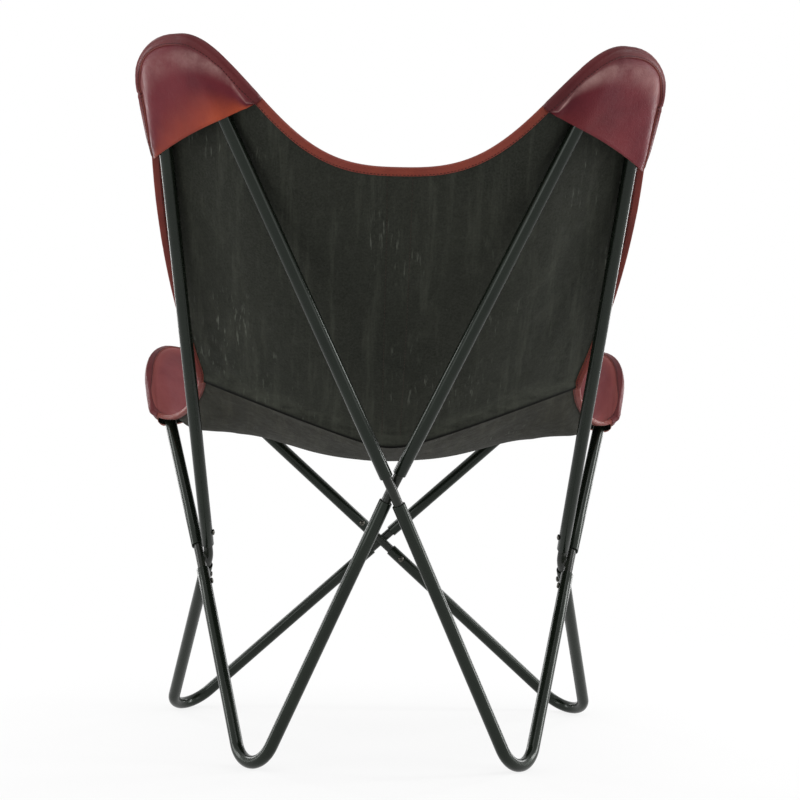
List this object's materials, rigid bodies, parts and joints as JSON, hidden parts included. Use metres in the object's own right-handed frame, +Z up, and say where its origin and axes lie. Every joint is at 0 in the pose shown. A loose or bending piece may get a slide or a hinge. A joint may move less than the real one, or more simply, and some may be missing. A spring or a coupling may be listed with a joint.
{
  "type": "butterfly sling chair",
  "caption": "Knock-down lounge chair: bent steel tube loops and legs joined by crossed rods, with a leather sling hung by its corner pockets.",
  "frame": {"origin": "middle of the bounding box, on the floor", "axes": "+Z up, +Y towards the front that a sitter faces, +X to the right of someone behind the chair who looks at its back"},
  "size_m": [0.685, 0.7664, 0.8747],
  "materials": {
    "frame_paint": "satin black powder coat",
    "screw_zinc": "zinc plated",
    "sling_leather": "wine red grain side, black flesh side",
    "binding_leather": "folded and stitched, red brown"
  },
  "bodies": {
    "root": {"back_panel": "sling_leather", "front_cross": "frame_paint", "front_edge_binding": "binding_leather", "front_left_leg": "frame_paint", "front_left_leg_end_screw": "screw_zinc", "front_left_leg_side_screw": "screw_zinc", "front_left_loop": "frame_paint", "front_left_loop_end_screw": "screw_zinc", "front_left_loop_side_screw": "screw_zinc", "front_left_pocket_binding": "binding_leather", "front_left_pocket_flap": "sling_leather", "front_right_leg": "frame_paint", "front_right_leg_end_screw": "screw_zinc", "front_right_leg_side_screw": "screw_zinc", "front_right_loop": "frame_paint", "front_right_loop_end_screw": "screw_zinc", "front_right_loop_side_screw": "screw_zinc", "front_right_pocket_binding": "binding_leather", "front_right_pocket_flap": "sling_leather", "left_back_side_binding": "binding_leather", "left_cross": "frame_paint", "left_seat_side_binding": "binding_leather", "rear_cross": "frame_paint", "rear_left_leg": "frame_paint", "rear_left_leg_end_screw": "screw_zinc", "rear_left_leg_side_screw": "screw_zinc", "rear_left_loop": "frame_paint", "rear_left_loop_end_screw": "screw_zinc", "rear_left_loop_side_screw": "screw_zinc", "rear_left_pocket_binding": "binding_leather", "rear_left_pocket_flap": "sling_leather", "rear_right_leg": "frame_paint", "rear_right_leg_end_screw": "screw_zinc", "rear_right_leg_side_screw": "screw_zinc", "rear_right_loop": "frame_paint", "rear_right_loop_end_screw": "screw_zinc", "rear_right_loop_side_screw": "screw_zinc", "rear_right_pocket_binding": "binding_leather", "rear_right_pocket_flap": "sling_leather", "right_back_side_binding": "binding_leather", "right_cross": "frame_paint", "right_seat_side_binding": "binding_leather", "seat_panel": "sling_leather", "top_edge_binding": "binding_leather"}
  },
  "joints": []
}
